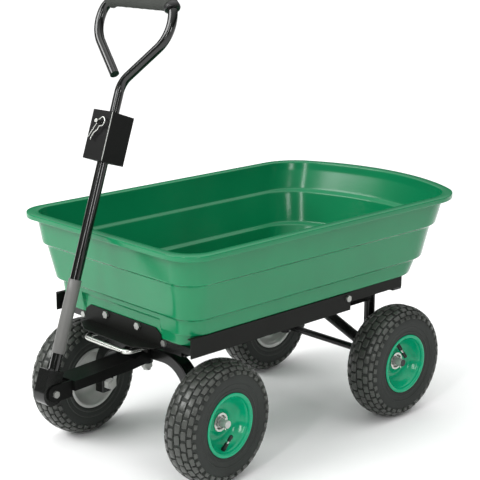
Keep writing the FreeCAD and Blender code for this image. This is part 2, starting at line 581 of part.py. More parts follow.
def make_tongue():
    """A pressed channel from the arch to the handle hinge, with two hinge straps."""
    half, gauge = dim("tongue_half_width"), dim("tongue_sheet")
    top, low, rear, tip = dim("tongue_top"), dim("tongue_bottom"), -dim("tongue_start"), -dim("tongue_end")
    flare, arch_top = -dim("tongue_flare"), dim("arch_top")
    side_view = [(tip, low), (tip, top), (flare, top + 3.5), (rear, arch_top - 0.5), (rear, low + 6),
                 (flare, low + 2)]
    inside = [(tip - 1, low - 5), (tip - 1, top - gauge), (flare, top + 3.5 - gauge),
              (rear + 1, arch_top - 0.5 - gauge), (rear + 1, low - 5)]
    channel = cut("tongue_channel",
                  padded("tongue_block", "YZ_Plane", side_view, 2 * half, midplane=True),
                  padded("tongue_inside", "YZ_Plane", inside, 2 * (half - gauge), midplane=True))
    pieces = [channel]
    hinge, centre, radius = -dim("hinge_forward"), dim("hinge_height"), dim("strap_radius")
    near, far = dim("strap_inner"), dim("strap_inner") + dim("strap_sheet")
    for side, word in ((LEFT, "left"), (RIGHT, "right")):
        x0, x1 = sorted((side * near, side * far))
        pieces.append(box("strap_bar_" + word, (x0, hinge, centre - radius),
                          (x1, tip + 1, centre + radius)))
        pieces.append(rod("strap_eye_" + word, (x0, hinge, centre), (x1, hinge, centre), "strap_radius"))
        x0, x1 = sorted((side * near, side * (half - gauge)))
        pieces.append(box("strap_root_" + word, (x0, tip, low), (x1, -dim("strap_root"), top - gauge)))
    bore = rod("strap_bore", (-40, hinge, centre), (40, hinge, centre), "hinge_radius")
    keep(cut("tongue_cut", fuse("tongue_fuse", *pieces), bore), "tongue", STEER)
    pin = bolt("hinge_bolt_b", (far, hinge, centre), (-1, 0, 0), 2 * far, dim("hinge_radius"), 13)
    keep(pin, "hinge_bolt", STEER)


def make_yoke():
    """A folded yoke around the hinge bolt; its web closes the front."""
    half, gauge, radius = dim("yoke_half_width"), dim("yoke_sheet"), dim("yoke_radius")
    top, clear = dim("yoke_top"), dim("hinge_radius") + dim("running_clearance")
    outer = fuse("yoke_outer", rod("yoke_round", (-half, 0, 0), (half, 0, 0), "yoke_radius"),
                 box("yoke_block", (-half, -radius, 0), (half, 13, top)))
    inside = fuse("yoke_inside", rod("yoke_hollow", (-half + gauge, 0, 0), (half - gauge, 0, 0),
                                     radius - gauge),
                  box("yoke_slot", (-half + gauge, -radius + gauge, 0), (half - gauge, 40, top - gauge)),
                  box("yoke_open", (-half + gauge, 0, -40), (half - gauge, 40, 20)))
    tools = [inside, rod("yoke_bore", (-60, 0, 0), (60, 0, 0), clear),
             rod("yoke_stem_hole", (0, 0, 20), (0, 0, top + 10), "stem_radius")]
    keep(cut("yoke_cut", outer, *tools), "handle_yoke", HANDLE)


def make_stem():
    wall = dim("stem_radius") - 2.0
    outer = rod("stem_outer", (0, 0, dim("stem_start")), (0, 0, dim("stem_end")), "stem_radius")
    bore = rod("stem_bore", (0, 0, dim("stem_start") - 1), (0, 0, dim("stem_end") + 1), wall)
    keep(cut("stem_cut", outer, bore), "handle_stem", HANDLE)
    cover = rod("sleeve_outer", (0, 0, dim("sleeve_start")), (0, 0, dim("sleeve_end")), "sleeve_radius")
    inner = rod("sleeve_bore", (0, 0, dim("sleeve_start") - 1), (0, 0, dim("sleeve_end") + 1),
                "stem_radius")
    keep(cut("sleeve_cut", cover, inner), "stem_sleeve", HANDLE)


def make_hitch_box():
    """The pressed box where the loop's tube plugs on, held by the hitch pin."""
    wide, deep, gauge = dim("box_width") / 2, dim("box_depth") / 2, dim("box_sheet")
    low, high, level = dim("box_bottom"), dim("box_top"), dim("clip_pin_level")
    outer = box("hitch_outer", (-wide, -deep, low), (wide, deep, high))
    tools = [box("hitch_inner", (-wide + gauge, -deep + gauge, low + gauge),
                 (wide - gauge, deep - gauge, high - gauge)),
             rod("hitch_low_hole", (0, 0, low - 5), (0, 0, low + 10), "stem_radius"),
             rod("hitch_top_hole", (0, 0, high - 10), (0, 0, high + 5), "loop_radius"),
             rod("hitch_pin_hole", (0, -60, level), (0, 60, level), "pin_radius")]
    keep(cut("hitch_cut", outer, *tools), "hitch_box", HANDLE)
    shank = rod("pin_shank", (0, deep + 4, level), (0, -deep - 13, level), "pin_radius")
    head = rod("pin_head", (0, deep + 0.1, level), (0, deep + 5, level), 7.0)
    reach = V(13, 0, 13 * CLIP_RISE)
    spot = V(0, -deep - 7, level)
    hole = rod("pin_hole", spot - reach, spot + reach, dim("clip_wire") + 0.3)
    keep(cut("pin_cut", fuse("pin_fuse", shank, head), hole), "hitch_pin", HANDLE)


# The clip's straight leg climbs this much for each millimetre towards +X.
CLIP_RISE = 1.9


def make_clip():
    """A spring clip: a straight leg through the pin, an eye, and a waved second leg."""
    deep, level, wire = dim("box_depth") / 2, dim("clip_pin_level"), dim("clip_wire")
    along = V(1, 0, CLIP_RISE).normalize()
    aside = V(CLIP_RISE, 0, -1).normalize()
    start = V(0, -deep - 7, level)

    def at(run, off):
        return start + along * run + aside * off
    route = [at(-38, 0), at(4, 0), at(15, 5), at(12, 15), at(0, 17), at(-5, 9.5), at(-13, 11),
             at(-22, 6.9), at(-31, 6.9), at(-38, 9)]
    path = rounded_path(route, [7, 5, 5, 6, 4, 6, 6, 6])
    keep(feature("clip_shape", swept(path, wire)), "r_clip", HANDLE)


def make_loop():
    """The grab loop: up the stem line, out to the right, over the top and back down."""
    half, top = dim("loop_half_width"), dim("loop_top")
    route = [(0, 0, dim("loop_start")), (0, 0, 622), (half + 8, 0, 724), (half - 6, 0, top),
             (-half + 3, 0, top + 2), (-half - 10, 0, 722), (-24, 0, 637)]
    path = rounded_path(route, [48, 70, 26, 38, 64])
    outer, inner = swept(path, dim("loop_radius")), swept(path, dim("loop_bore"))
    pin = Part.makeCylinder(dim("pin_radius"), 60, V(0, -30, dim("clip_pin_level")), V(0, 1, 0))
    keep(feature("loop_shape", outer.cut(inner).cut(pin)), "handle_loop", HANDLE)
    right_bend, bar, left_bend = path.Edges[5], path.Edges[6], path.Edges[7]
    radius, tube = dim("grip_radius"), dim("loop_radius")
    cover = Part.Wire([part_of(right_bend, 0.5, 1.0), bar, part_of(left_bend, 0.0, 0.5)])
    keep(feature("grip_shape", swept(cover, radius).cut(swept(cover, tube))), "handle_grip", HANDLE)
    collar = Part.Wire([part_of(right_bend, 0.22, 0.5)])
    keep(feature("grip_ring_shape", swept(collar, radius).cut(swept(collar, tube))), "grip_ring", HANDLE)


def part_of(edge, begin, finish):
    """The stretch of an edge between two fractions of its length."""
    first, span = edge.FirstParameter, edge.LastParameter - edge.FirstParameter
    return edge.Curve.toShape(first + begin * span, first + finish * span)


def make_latch():
    """The pull bail under the tub's front bracket, and its two return springs."""
    half, level, front = dim("latch_half"), dim("latch_height"), dim("latch_front")
    tip, neck = -dim("chassis_front") - 4.6, -dim("latch_neck")
    route = [(-half, neck, level), (-half, -front, level), (half, -front, level), (half, neck, level)]
    bail = swept(rounded_path(route, [16, 16]), dim("latch_grip"))
    for side in (LEFT, RIGHT):
        bail = bail.fuse(Part.makeCylinder(dim("latch_rod"), tip - neck + 1, V(side * half, neck - 1, level),
                                           V(0, 1, 0)))
    guide_face = -dim("guide_face")
    for side in (LEFT, RIGHT):
        bail = bail.fuse(Part.makeCylinder(dim("collar_radius"), 3, V(side * half, tip - 8, level),
                                           V(0, 1, 0)))
    keep(feature("bail_shape", bail), "latch_bail")
    springs, guides = [], []
    for side, word in ((LEFT, "left"), (RIGHT, "right")):
        near, far = guide_face + 3.2, tip - 8
        springs.append(cut("spring_cut_" + word,
                           rod("spring_o_" + word, (side * half, near, level),
                               (side * half, far, level), "spring_outer"),
                           rod("spring_i_" + word, (side * half, near - 1, level),
                               (side * half, far + 1, level), "spring_inner")))
        plate = box("guide_" + word, (side * half - 9, guide_face, level - 9),
                    (side * half + 9, guide_face + 3, 286.5))
        hole = rod("guide_hole_" + word, (side * half, guide_face - 5, level),
                   (side * half, guide_face + 8, level), dim("latch_rod") + dim("running_clearance"))
        guides.append(cut("guide_cut_" + word, plate, hole))
    keep(group("spring_group", *springs), "latch_springs")
    return guides


def ring_outline(points):
    """Mirror a half profile about the wheel's centre plane."""
    return points + [(-x, r) for x, r in reversed(points) if abs(x) > 0.01]


# How far each wheel stands turned at rest, in degrees; its valve points up at 0.
VALVE_TURNS = {"front_left": 46, "front_right": 170, "rear_left": 126, "rear_right": 20}


def make_wheel(word, side, frame, half_track, place):
    """Tyre, tube, both rim halves and the hub of one wheel, on its own axle line."""
    turn = FreeCAD.Placement(V(side * half_track, place, dim("axle_height")),
                             rotation((0, 0, 1), 0 if side > 0 else 180))
    valve_turn = FreeCAD.Placement(V(0, 0, 0), rotation((1, 0, 0), VALVE_TURNS[word]))
    spot = frame.multiply(turn).multiply(valve_turn)
    radius, half, bead = dim("tyre_radius"), dim("tyre_width") / 2, dim("tyre_opening")
    flange, edge, well = dim("flange_radius"), dim("flange_offset"), dim("well_radius")
    gauge, wall = dim("sheet_metal"), dim("tyre_wall")
    middle = (radius + bead) / 2
    tyre = ring_outline([(edge - 3, bead - 6), (edge - 1, bead), (half - 3, middle - 12), (half, middle),
                         (half - 4, middle + 15), (half - 13, radius - 5), (half - 24, radius)])
    hollow = ring_outline([(edge - 10, bead - 6), (half - wall - 3, middle - 12), (half - wall, middle),
                           (half - wall - 4, middle + 14), (half - 24, radius - wall - 3)])
    body = doc.addObject("PartDesign::Body", "tyre_body_" + word)
    for name, outline, kind in (("case", tyre, "PartDesign::Revolution"),
                                ("hollow", hollow, "PartDesign::Groove")):
        sketch = sketch_on(body, "XZ_Plane", outline)
        step = body.newObject(kind, "tyre_%s_%s" % (name, word))
        step.Profile = sketch
        step.ReferenceAxis = (sketch, ["H_Axis"])
        step.Angle = 360
        doc.recompute()
    keep(body, "tyre_" + word, spot)
    tube = turned("tube_body_" + word, ring_outline(
        [(edge - 12, bead - 2), (half - wall - 5, middle - 10), (half - wall - 1, middle),
         (half - wall - 6, middle + 13), (half - 25, radius - wall - 5)]))
    stem_start, stem_end = (edge - 18, 0, bead - 3), (edge + 2, 0, well - 25)
    stem = rod("valve_" + word, stem_start, stem_end, 3.2)
    keep(fuse("tube_fuse_" + word, tube, stem), "inner_tube_" + word, spot)
    hub = dim("hub_radius")
    outer_rim = [(0.1, hub + 0.1), (8, hub + 0.1), (8, 26), (3, 32), (3, 44), (9, well - 6),
                 (edge - 9, well - 6), (edge - 4, bead - 8), (edge, bead - 6.6), (edge, flange - 8),
                 (edge - 4, flange - 8), (edge - 12, well), (0.1, well)]
    inner_rim = [(-x, r) for x, r in outer_rim]
    slot = rod("valve_slot_" + word, stem_start, stem_end, 3.4)
    keep(cut("rim_outer_cut_" + word, turned("rim_outer_b_" + word, outer_rim), slot),
         "rim_outer_" + word, spot)
    keep(turned("rim_inner_b_" + word, inner_rim), "rim_inner_" + word, spot)
    shaft = dim("axle_radius") + dim("running_clearance")
    inboard, outboard = -dim("hub_inboard"), dim("hub_outboard")
    hub_body = turned("hub_b_" + word, [(inboard, shaft), (outboard, shaft), (outboard, hub),
                                        (inboard, hub)])
    keep(hub_body, "wheel_hub_" + word, spot)


def check_document():
    """Stop on any failed object or unsound sub-part."""
    doc.recompute()
    for obj in doc.Objects:
        if "Invalid" in obj.State or "Error" in obj.State:
            raise RuntimeError("failed object: " + obj.Name)
    for obj in PARTS:
        shape = obj.Shape
        if shape.isNull() or not shape.isValid() or not shape.Solids:
            raise RuntimeError("unsound sub-part: " + obj.Label)


def main():
    make_tub()
    make_bed_rails()
    guides = make_latch()
    make_tub_frame(guides)
    make_pivot_bar()
    make_chassis()
    make_rear_axle()
    make_axle_arch()
    make_front_axles()
    make_tongue()
    make_yoke()
    make_stem()
    make_hitch_box()
    make_loop()
    make_clip()
    for side, word in ((LEFT, "left"), (RIGHT, "right")):
        make_wheel("front_" + word, side, STEER, dim("front_half_track"), 0)
        make_wheel("rear_" + word, side, CART, dim("rear_half_track"), REAR_Y)
    check_document()
    os.makedirs("parts", exist_ok=True)
    whole = FreeCAD.BoundBox()
    for obj in PARTS:
        obj.Shape.exportStep("parts/%s.step" % obj.Label)
        whole.add(obj.Shape.BoundBox)
    print("parts:", len(PARTS), "box:", whole)


main()
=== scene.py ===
import json
import math
import random

import bpy
from mathutils import Matrix, Vector


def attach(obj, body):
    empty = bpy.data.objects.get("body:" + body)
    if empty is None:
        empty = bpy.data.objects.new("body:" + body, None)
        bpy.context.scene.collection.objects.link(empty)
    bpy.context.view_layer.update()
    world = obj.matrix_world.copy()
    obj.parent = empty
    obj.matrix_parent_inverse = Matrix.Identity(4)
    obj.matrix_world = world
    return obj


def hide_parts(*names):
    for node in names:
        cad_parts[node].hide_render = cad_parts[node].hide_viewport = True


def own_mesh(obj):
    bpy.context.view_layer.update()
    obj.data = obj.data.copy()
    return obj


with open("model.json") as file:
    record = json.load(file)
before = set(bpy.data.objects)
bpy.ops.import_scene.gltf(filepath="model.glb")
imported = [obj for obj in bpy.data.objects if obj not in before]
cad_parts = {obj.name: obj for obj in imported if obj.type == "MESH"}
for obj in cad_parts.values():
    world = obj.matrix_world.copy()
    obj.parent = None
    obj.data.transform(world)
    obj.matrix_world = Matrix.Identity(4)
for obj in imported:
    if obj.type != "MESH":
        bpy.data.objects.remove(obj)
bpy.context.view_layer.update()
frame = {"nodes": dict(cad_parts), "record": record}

# Sizes are in millimetres, in the cart's own frame, unless a comment says otherwise. That frame's origin is on
# the ground in the middle of the wheelbase, with +Z up and the handle at -Y.
MM = 0.001
TAU = 2 * math.pi
LEFT, RIGHT = -1, 1
ORIGIN_SHIFT = 34.86
HALF_WHEELBASE = 278.0
AXLE_HEIGHT = 130
HINGE_Y, HINGE_Z = -268, 218
STEER = math.radians(4.72)
LEAN = math.radians(19.8)

CART_FRAME = Matrix.Translation((0, ORIGIN_SHIFT * MM, 0))
KING_Y = -HALF_WHEELBASE + ORIGIN_SHIFT
STEER_FRAME = Matrix.Translation((0, KING_Y * MM, 0)) @ Matrix.Rotation(STEER, 4, "Z")
HANDLE_FRAME = (STEER_FRAME @ Matrix.Translation((0, HINGE_Y * MM, HINGE_Z * MM))
                @ Matrix.Rotation(-LEAN, 4, "X"))


# ---------------------------------------------------------------- camera and light
# The camera's place is in metres from the cart frame's origin, and its angles are in degrees.
CAMERA_PLACE = (2.029, -1.949, 1.161)
CAMERA_AZIMUTH, CAMERA_ELEVATION, CAMERA_ROLL = 46.262, 14.689, 0.132
CAMERA_LENS, SENSOR_WIDTH, CLIP_END = 98.85, 36.0, 50.0

# The sky's strength at the horizon and overhead, and the height on a unit sphere where it starts to brighten.
SKY_LOW, SKY_HIGH, SKY_RISE = 0.03, 1.95, 0.18

# Each lamp's place and target in metres, the two sides of its panel in metres and its power in watts.
LAMPS = {
    "key": ((-1.5, -3.4, 2.9), (0, -0.2, 0.4), (3.2, 1.4), 140),
    "strip": ((1.4, -3.1, 1.75), (0, 0.2, 0.45), (0.22, 1.5), 26),
    "dish_box": ((2.25, -0.85, 0.95), (0.2, -0.1, 0.2), (0.45, 0.45), 8),
    "top": ((0, 0.2, 3.6), (0, 0, 0.3), (2.4, 2.4), 10),
}

# The floor is 60 m square. It lies half a millimetre low, so that no tyre shares its plane.
FLOOR_SIZE, FLOOR_HEIGHT = 60, -0.0005


def look_from(azimuth, elevation, roll):
    """Camera axes for a view: azimuth 0 looks along +Y."""
    a, e, r = (math.radians(v) for v in (azimuth, elevation, roll))
    back = Vector((math.sin(a) * math.cos(e), -math.cos(a) * math.cos(e), math.sin(e)))
    right = Vector((math.cos(a), math.sin(a), 0))
    up = back.cross(right)
    side = right * math.cos(r) + up * math.sin(r)
    top = up * math.cos(r) - right * math.sin(r)
    return Matrix((side, top, back)).transposed().to_4x4()


def make_camera():
    data = bpy.data.cameras.new("camera")
    data.lens = CAMERA_LENS
    data.sensor_width = SENSOR_WIDTH
    data.clip_end = CLIP_END
    camera = bpy.data.objects.new("camera", data)
    x, y, z = CAMERA_PLACE
    place = Matrix.Translation((x, y + ORIGIN_SHIFT * MM, z))
    camera.matrix_world = place @ look_from(CAMERA_AZIMUTH, CAMERA_ELEVATION, CAMERA_ROLL)
    bpy.context.scene.collection.objects.link(camera)
    bpy.context.scene.camera = camera


def area_light(name, place, target, size, watts):
    data = bpy.data.lights.new(name, "AREA")
    data.shape = "RECTANGLE"
    data.size, data.size_y = size
    data.energy = watts
    light = bpy.data.objects.new(name, data)
    aim = Vector(target) - Vector(place)
    light.rotation_euler = aim.to_track_quat("-Z", "Y").to_euler()
    light.location = place
    bpy.context.scene.collection.objects.link(light)


def make_sky():
    """A sky that is dim at the horizon and bright overhead, like a softbox ceiling."""
    world = bpy.data.worlds.new("studio")
    world.use_nodes = True
    nodes, links = world.node_tree.nodes, world.node_tree.links
    coords = nodes.new("ShaderNodeTexCoord")
    split = nodes.new("ShaderNodeSeparateXYZ")
    ramp = nodes.new("ShaderNodeValToRGB")
    dim = SKY_LOW / SKY_HIGH
    ramp.color_ramp.elements[0].position = SKY_RISE
    ramp.color_ramp.elements[0].color = (dim, dim, dim, 1)
    ramp.color_ramp.elements[1].color = (1, 1, 1, 1)
    links.new(coords.outputs["Generated"], split.inputs["Vector"])
    links.new(split.outputs["Z"], ramp.inputs["Fac"])
    links.new(ramp.outputs["Color"], nodes["Background"].inputs["Color"])
    nodes["Background"].inputs["Strength"].default_value = SKY_HIGH
    bpy.context.scene.world = world


def make_studio():
    """Sky, lamps and a pale floor, with colours shown as they are."""
    bpy.context.scene.view_settings.view_transform = "Standard"
    make_sky()
    for name, lamp in LAMPS.items():
        area_light(name, *lamp)
    bpy.ops.mesh.primitive_plane_add(size=FLOOR_SIZE, location=(0, 0, FLOOR_HEIGHT))
    floor = bpy.context.object
    floor.name = "floor"
    floor.data.materials.append(surface("floor_white", (0.93, 0.93, 0.93), 0.9, spread=0.01, bump=0.0))


# ---------------------------------------------------------------- materials
COAT_ROUGH = 0.08
BROAD_SCALE, BROAD_DETAIL, FINE_DETAIL = 9.0, 4.0, 5.0
TONE_LOW, TONE_HIGH = 0.3, 0.7
ROUGH_SPREAD, ROUGH_LEAST = 0.06, 0.03
GRAIN_DEPTH = 1 * MM
# Pointiness at which a lighter edge starts to show, and at which it shows in full: wear on the tyres, a painted
# highlight on the rims' flanges.
WEAR_AND_SHEEN_START, WEAR_AND_SHEEN_FULL = 0.52, 0.62


def noise(nodes, links, coords, scale, detail):
    """A noise texture in the object's own coordinates."""
    texture = nodes.new("ShaderNodeTexNoise")
    texture.inputs["Scale"].default_value = scale
    texture.inputs["Detail"].default_value = detail
    links.new(coords.outputs["Object"], texture.inputs["Vector"])
    return texture


def surface(name, colour, rough, metal=0.0, spread=0.06, grain=120.0, bump=0.02, coat=0.0,
            wear_and_sheen=None, specular=0.5):
    """A procedural finish: base colour with soft variation, grain bump, and lighter edges that are wear on the
    tyres and a painted highlight on the rims.
    """
    material = bpy.data.materials.new(name)
    material.use_nodes = True
    nodes, links = material.node_tree.nodes, material.node_tree.links
    shader = nodes["Principled BSDF"]
    shader.inputs["Metallic"].default_value = metal
    shader.inputs["Coat Weight"].default_value = coat
    shader.inputs["Coat Roughness"].default_value = COAT_ROUGH
    shader.inputs["Specular IOR Level"].default_value = specular
    coords = nodes.new("ShaderNodeTexCoord")
    broad = noise(nodes, links, coords, BROAD_SCALE, BROAD_DETAIL)
    fine = noise(nodes, links, coords, grain, FINE_DETAIL)
    ramp = nodes.new("ShaderNodeValToRGB")
    low = [max(0.0, c * (1 - spread)) for c in colour]
    high = [min(1.0, c * (1 + spread)) for c in colour]
    ramp.color_ramp.elements[0].position = TONE_LOW
    ramp.color_ramp.elements[1].position = TONE_HIGH
    ramp.color_ramp.elements[0].color = (*low, 1)
    ramp.color_ramp.elements[1].color = (*high, 1)
    links.new(broad.outputs["Fac"], ramp.inputs["Fac"])
    colour_out = ramp.outputs["Color"]
    if wear_and_sheen:
        colour_out = add_edge_wear_and_sheen(nodes, links, colour_out, wear_and_sheen, fine)
    links.new(colour_out, shader.inputs["Base Color"])
    rough_map = nodes.new("ShaderNodeMapRange")
    rough_map.inputs["To Min"].default_value = max(ROUGH_LEAST, rough - ROUGH_SPREAD)
    rough_map.inputs["To Max"].default_value = min(1.0, rough + ROUGH_SPREAD)
    links.new(fine.outputs["Fac"], rough_map.inputs["Value"])
    links.new(rough_map.outputs["Result"], shader.inputs["Roughness"])
    if bump:
        relief = nodes.new("ShaderNodeBump")
        relief.inputs["Strength"].default_value = bump
        relief.inputs["Distance"].default_value = GRAIN_DEPTH
        links.new(fine.outputs["Fac"], relief.inputs["Height"])
        links.new(relief.outputs["Normal"], shader.inputs["Normal"])
    return material


def add_edge_wear_and_sheen(nodes, links, colour, wear_and_sheen, fine):
    """Lighter colour along convex edges, broken up by the grain: wear on the tyres, a painted highlight on the
    rims' flanges.
    """
    geometry = nodes.new("ShaderNodeNewGeometry")
    edge = nodes.new("ShaderNodeMapRange")
    edge.inputs["From Min"].default_value = WEAR_AND_SHEEN_START
    edge.inputs["From Max"].default_value = WEAR_AND_SHEEN_FULL
    links.new(geometry.outputs["Pointiness"], edge.inputs["Value"])
    broken = nodes.new("ShaderNodeMath")
    broken.operation = "MULTIPLY"
    links.new(edge.outputs["Result"], broken.inputs[0])
    links.new(fine.outputs["Fac"], broken.inputs[1])
    mix = nodes.new("ShaderNodeMixRGB")
    mix.inputs["Color2"].default_value = (*wear_and_sheen, 1)
    links.new(broken.outputs["Value"], mix.inputs["Fac"])
    links.new(colour, mix.inputs["Color1"])
    return mix.outputs["Color"]


# Every finish by name: the record's material slots, and tube_paint, box_paint, tread_rubber, dull_zinc and
# pale_zinc, which single pieces wear in place of their slot's own.
SURFACES = {
    "green_plastic": dict(colour=(0.002, 0.165, 0.063), rough=0.20, spread=0.05, grain=420, bump=0.03,
                          specular=0.38),
    # Painted highlight: the light teal edge colour brightens the rims' rolled flanges in place of their sheen.
    "green_paint": dict(colour=(0.001, 0.300, 0.145), rough=0.16, spread=0.06, grain=160, bump=0.02,
                        specular=0.30, wear_and_sheen=(0.16, 0.60, 0.45)),
    "black_paint": dict(colour=(0.004, 0.0045, 0.004), rough=0.24, spread=0.15, grain=260, bump=0.03,
                        specular=0.34),
    "tube_paint": dict(colour=(0.003, 0.0035, 0.003), rough=0.15, spread=0.15, grain=260, bump=0.015,
                       coat=0.25, specular=0.36),
    "box_paint": dict(colour=(0.003, 0.0033, 0.003), rough=0.42, spread=0.15, grain=260, bump=0.03,
                      specular=0.12),
    "rail_paint": dict(colour=(0.007, 0.0075, 0.0065), rough=0.46, spread=0.12, grain=300, bump=0.05,
                       specular=0.10),
    "tyre": dict(colour=(0.015, 0.018, 0.0155), rough=0.60, spread=0.22, grain=180, bump=0.12,
                 specular=0.32, wear_and_sheen=(0.08, 0.085, 0.078)),
    "tread_rubber": dict(colour=(0.040, 0.044, 0.038), rough=0.34, spread=0.45, grain=260, bump=0.35,
                         specular=0.5, wear_and_sheen=(0.17, 0.18, 0.165)),
    "tube_rubber": dict(colour=(0.006, 0.006, 0.006), rough=0.38, spread=0.2, bump=0.03, specular=0.4),
    "grip_foam": dict(colour=(0.044, 0.047, 0.043), rough=0.9, spread=0.1, grain=700, bump=0.35,
                      specular=0.15),
    "sleeve_grey": dict(colour=(0.10, 0.10, 0.095), rough=0.42, spread=0.1, grain=400, bump=0.05,
                        specular=0.4),
    "zinc": dict(colour=(0.52, 0.53, 0.50), rough=0.26, metal=1.0, spread=0.12, grain=90, bump=0.03),
    "dull_zinc": dict(colour=(0.34, 0.35, 0.33), rough=0.40, metal=0.9, spread=0.2, grain=200, bump=0.08),
    "pale_zinc": dict(colour=(0.44, 0.45, 0.43), rough=0.34, metal=0.4, spread=0.18, grain=120, bump=0.06),
}
MATERIALS = {name: surface(name, **settings) for name, settings in SURFACES.items()}

# CAD nodes whose finish differs from the rest of their slot, and the starts of the names of sheet-metal nodes,
# whose sharp edges are eased.
FINISHES = {"hitch_box": "box_paint", "tongue": "box_paint", "tub_bolts": "dull_zinc",
            "rail_joint_bolts": "dull_zinc", "hinge_bolt": "dull_zinc", "kingpin_bolt": "dull_zinc",
            "tip_pivot_bolts": "dull_zinc", "stub_axle_left": "pale_zinc", "stub_axle_right": "pale_zinc"}
EASED = ("hitch_box", "bed_", "chassis_", "tub_front_bracket", "tongue", "axle_arch", "handle_yoke",
         "latch_keeper")
EASE_WIDTH, EASE_SEGMENTS, EASE_ANGLE = 0.9, 2, math.radians(50)


def dress_frame():
    """Give every carried-over CAD node its procedural finish, and sheet metal its eased edges."""
    slots = {row["node"]: row["material_slot"] for row in frame["record"]["subparts"]}
    for name, node in frame["nodes"].items():
        node.data.materials.clear()
        node.data.materials.append(MATERIALS[FINISHES.get(name, slots[name])])
        if name.startswith(EASED):
            ease_edges(node)


def ease_edges(node):
    """A small rounding on the sharp edges of a CAD node, so that they catch the light."""
    bevel = node.modifiers.new("eased", "BEVEL")
    bevel.width = EASE_WIDTH * MM
    bevel.segments = EASE_SEGMENTS
    bevel.limit_method = "ANGLE"
    bevel.angle_limit = EASE_ANGLE
    bevel.harden_normals = True


# ---------------------------------------------------------------- mesh helpers
# Edges steeper than these angles, in degrees, stay crisp on a tube and on a turned piece.
TUBE_CREASE, TURNED_CREASE = 50, 30
# A rounded corner of a profile has this many steps, and takes at most this share of the sides it joins.
CORNER_STEPS, CORNER_SHARE = 4, 0.45


def mesh_piece(name, points, faces, slot, body, where, replaces=(), finish=None):
    """A mesh piece from millimetre points in a local frame, on a CAD body. The finish is the slot's own
    unless another is named."""
    mesh = bpy.data.meshes.new(name)
    place = [where @ (Vector(p) * MM) for p in points]
    mesh.from_pydata(place, [], faces)
    mesh.validate()
    mesh.update()
    for polygon in mesh.polygons:
        polygon.use_smooth = True
    mesh.materials.append(MATERIALS[finish or slot])
    piece = bpy.data.objects.new(name, mesh)
    bpy.context.scene.collection.objects.link(piece)
    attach(piece, body)
    if replaces:
        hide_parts(*replaces)
    return piece


def sharpen(piece, degrees):
    """Keep edges steeper than the angle crisp."""
    piece.data.set_sharp_from_angle(angle=math.radians(degrees))


def rings_to_faces(rings, count, first=0):
    """Quads between successive closed rings of count points each."""
    faces = []
    for row in range(rings - 1):
        for column in range(count):
            a = first + row * count + column
            b = first + row * count + (column + 1) % count
            faces.append((a, b, b + count, a + count))
    return faces


def end_caps(rings, count):
    """Two faces that close the first and the last ring."""
    last = (rings - 1) * count
    return [tuple(reversed(range(count))), tuple(range(last, last + count))]


def ring_points(profile, segments):
    """Turn a profile of (x, radius) about the local X axis."""
    return [(x, r * math.cos(TAU * k / segments), r * math.sin(TAU * k / segments))
            for x, r in profile for k in range(segments)]


def closed_rings(rows, segments, first=0):
    """Faces of a ring profile whose last row joins its first."""
    faces = rings_to_faces(rows, segments, first)
    last = first + (rows - 1) * segments
    for step in range(segments):
        follow = (step + 1) % segments
        faces.append((last + step, last + follow, first + follow, first + step))
    return faces


def rounded_route(corners, radii, steps):
    """Points along straight runs joined by tangent arcs."""
    points = [Vector(corners[0])]
    for index in range(1, len(corners) - 1):
        corner = Vector(corners[index])
        into = (corner - Vector(corners[index - 1])).normalized()
        away = (Vector(corners[index + 1]) - corner).normalized()
        turn = into.angle(away)
        radius = radii[index - 1]
        reach = radius * math.tan(turn / 2)
        centre = corner + (away - into).normalized() * radius / math.cos(turn / 2)
        begin = corner - into * reach - centre
        axis = into.cross(away).normalized()
        for step in range(steps + 1):
            spin = Matrix.Rotation(turn * step / steps, 3, axis)
            points.append(centre + spin @ begin)
    points.append(Vector(corners[-1]))
    return points


def spread(start, end, count):
    """Points between two ends, not counting them."""
    return [start.lerp(end, step / (count + 1)) for step in range(1, count + 1)]


def tube(name, route, radius, slot, body, where, replaces=(), sides=28, finish=None):
    """A round bar along a route. The radius is one number, or a list with one for each point."""
    radii = radius if isinstance(radius, list) else [radius] * len(route)
    points = []
    normal = None
    for index, spot in enumerate(route):
        ahead = route[min(index + 1, len(route) - 1)]
        behind = route[max(index - 1, 0)]
        along = (ahead - behind).normalized()
        if normal is None:
            normal = along.orthogonal().normalized()
        normal = (normal - along * normal.dot(along)).normalized()
        other = along.cross(normal)
        for side in range(sides):
            angle = TAU * side / sides
            points.append(spot + (normal * math.cos(angle) + other * math.sin(angle)) * radii[index])
    faces = rings_to_faces(len(route), sides) + end_caps(len(route), sides)
    piece = mesh_piece(name, points, faces, slot, body, where, replaces, finish)
    sharpen(piece, TUBE_CREASE)
    return piece


def smooth_profile(corners, radius):
    """Round the corners of a profile with short curves."""
    points = [Vector(corners[0])]
    for index in range(1, len(corners) - 1):
        before, corner, after = (Vector(corners[index + k]) for k in (-1, 0, 1))
        part_in = min(CORNER_SHARE, radius / (corner - before).length)
        part_out = min(CORNER_SHARE, radius / (after - corner).length)
        begin = corner + (before - corner) * part_in
        end = corner + (after - corner) * part_out
        for step in range(CORNER_STEPS + 1):
            t = step / CORNER_STEPS
            points.append(begin * (1 - t) ** 2 + corner * 2 * t * (1 - t) + end * t ** 2)
    points.append(Vector(corners[-1]))
    return points


def lathe(name, profile, slot, body, where, replaces=(), segments=96, finish=None):
    """A turned piece: a closed profile of (x, radius) about the local X axis."""
    piece = mesh_piece(name, ring_points(profile, segments), closed_rings(len(profile), segments), slot,
                       body, where, replaces, finish)
    sharpen(piece, TURNED_CREASE)


# ---------------------------------------------------------------- tub
# The rim's plan: half width, distance to the front edge and to where the rear's bow begins, depth of the bow,
# and the front and rear corner radii.
HALF, FRONT, REAR, BOW, FRONT_R, REAR_R = 278.75, 407.5, 405.0, 97.0, 65.0, 111.0
